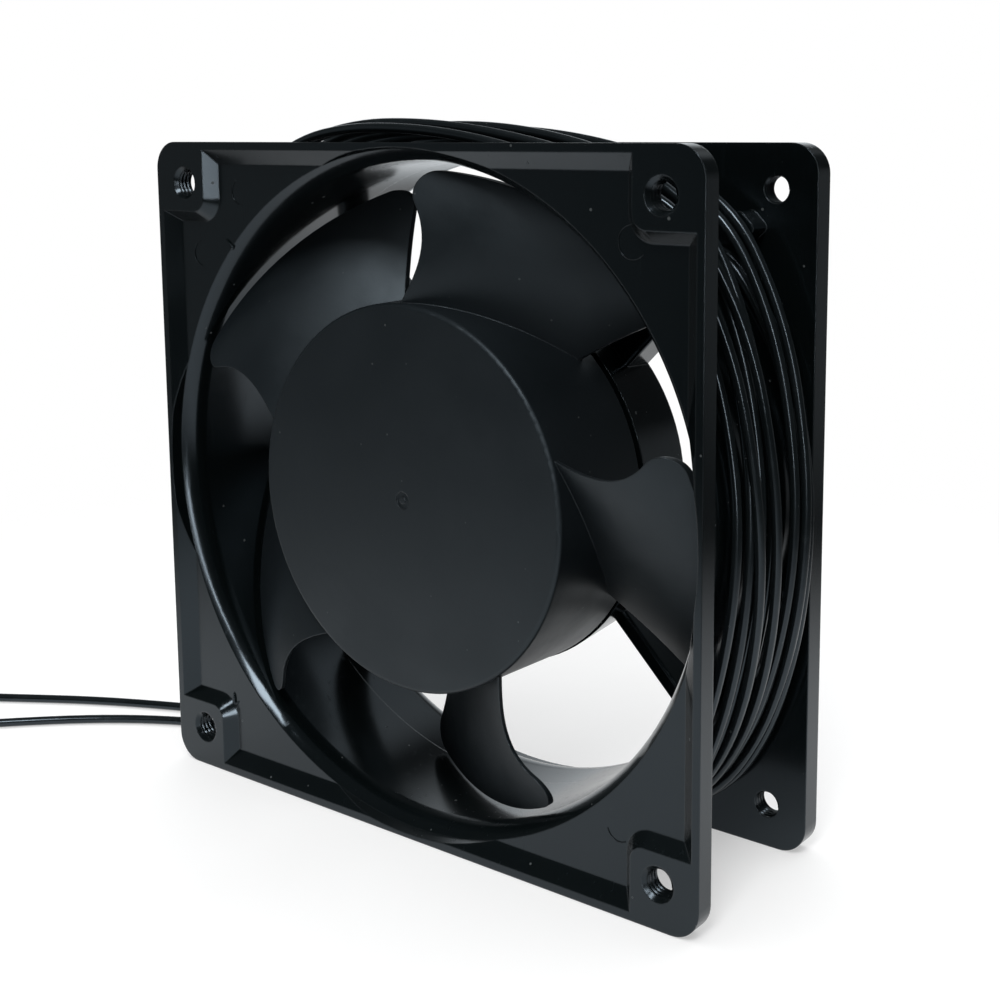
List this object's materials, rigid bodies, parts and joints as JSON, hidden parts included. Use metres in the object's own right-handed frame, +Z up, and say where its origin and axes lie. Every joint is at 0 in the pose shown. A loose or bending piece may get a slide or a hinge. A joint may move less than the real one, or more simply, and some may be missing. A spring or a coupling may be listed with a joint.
{
  "type": "case fan",
  "caption": "Square axial case fan with tapped corner holes, a swept-blade impeller on a deep hub motor, a strutted rear base, and two long black leads wound round the duct.",
  "frame": {"origin": "on the supporting surface, under the middle of the square frame; the free leads are not counted", "axes": "+Z up; the air inlet and hub face look towards -Y and the rear flange towards +Y, the rotor axis lies along Y; +X to the right seen from the front"},
  "size_m": [0.225, 0.0829, 0.1242],
  "materials": {
    "housing_plastic": "glossy black moulded plastic",
    "impeller_plastic": "satin black glass-filled plastic",
    "cover_plate": "satin black plastic",
    "blank_label": "blank matt silver label",
    "zinc_steel": "zinc-plated",
    "painted_steel": "pressed steel",
    "lamination_steel": "stacked laminations",
    "cast_aluminium": "die cast",
    "bearing_steel": "ground and polished",
    "brass": "turned",
    "nylon": "natural nylon",
    "enamelled_copper": "enamelled winding wire",
    "bare_copper": "bare copper strap",
    "sleeving": "glass-fibre sleeving",
    "rubber": "moulded rubber",
    "tinned_copper": "tinned strands",
    "lead_pvc": "satin black PVC"
  },
  "bodies": {
    "frame": {"bearing_tube": "brass", "bobbin_1": "nylon", "bobbin_2": "nylon", "bobbin_3": "nylon", "bobbin_4": "nylon", "coil_lead_a": "sleeving", "coil_lead_b": "sleeving", "cover_screws": "zinc_steel", "front_bearing_balls": "bearing_steel", "front_bearing_outer": "bearing_steel", "housing": "housing_plastic", "lead_a_inner": "lead_pvc", "lead_a_tail": "lead_pvc", "lead_a_tip": "tinned_copper", "lead_b_inner": "lead_pvc", "lead_b_tail": "lead_pvc", "lead_b_tip": "tinned_copper", "lead_grommet": "rubber", "lead_winding": "lead_pvc", "preload_spring": "zinc_steel", "rating_label": "blank_label", "rear_bearing_balls": "bearing_steel", "rear_bearing_outer": "bearing_steel", "rear_cover": "cover_plate", "shading_ring_1": "bare_copper", "shading_ring_2": "bare_copper", "shading_ring_3": "bare_copper", "shading_ring_4": "bare_copper", "splice_sleeve_a": "sleeving", "splice_sleeve_b": "sleeving", "stator_core": "lamination_steel", "winding_1": "enamelled_copper", "winding_2": "enamelled_copper", "winding_3": "enamelled_copper", "winding_4": "enamelled_copper"},
    "rotor": {"front_bearing_inner": "bearing_steel", "impeller": "impeller_plastic", "rear_bearing_inner": "bearing_steel", "retaining_clip": "zinc_steel", "rotor_cage": "cast_aluminium", "rotor_can": "painted_steel", "rotor_stack": "lamination_steel", "shaft": "bearing_steel", "shaft_boss": "cast_aluminium", "spacer_sleeve": "bearing_steel", "thrust_washer": "nylon"}
  },
  "joints": [
    {"name": "rotor_spin", "type": "hinge", "parent": "frame", "child": "rotor", "pos_m": [0, 0, 0.06], "axis": [0, -1, 0], "continuous": true}
  ]
}
